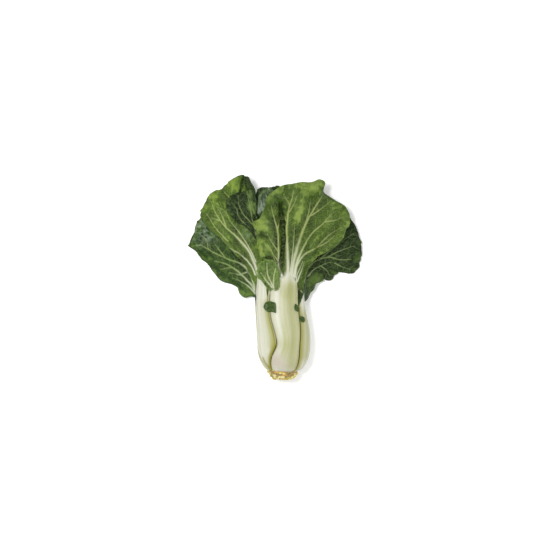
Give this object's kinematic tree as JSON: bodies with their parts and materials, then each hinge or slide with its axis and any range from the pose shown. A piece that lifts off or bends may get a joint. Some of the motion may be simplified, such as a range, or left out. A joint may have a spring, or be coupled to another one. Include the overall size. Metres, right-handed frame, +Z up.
{
  "type": "bok choy",
  "caption": "White-stemmed bok choy with broad ribbed stalks and waved green blades, lying on its side.",
  "frame": {"origin": "middle of the small flat spot under the stalks that the vegetable rests on", "axes": "+Y from the cut root end to the leaf tips, +Z up off the surface, +X to the right seen from above with the tips up"},
  "size_m": [0.2564, 0.2989, 0.0811],
  "materials": {
    "butt": "rough cut root end",
    "stalk": "smooth satin, ribbed lengthways",
    "blade": "waxy leaf, soft sheen",
    "leaflet": "dark waxy leaf"
  },
  "bodies": {
    "root": {"butt": "butt", "stalk_front_centre": "stalk", "stalk_front_left": "stalk", "stalk_small_front": "stalk", "stalk_back_left": "stalk", "stalk_back_right": "stalk", "stalk_inner_left": "stalk", "stalk_inner_centre": "stalk", "stalk_inner_back": "stalk", "stalk_under_left": "stalk", "stalk_under_right": "stalk", "blade_front_centre": "blade", "blade_front_left": "blade", "blade_small_front": "blade", "blade_back_left": "blade", "blade_back_right": "blade", "blade_inner_left": "blade", "blade_inner_centre": "blade", "blade_inner_back": "blade", "blade_under_left": "blade", "blade_under_right": "blade", "leaflet_round": "leaflet", "leaflet_slim": "leaflet", "leaflet_side": "leaflet"}
  },
  "joints": []
}
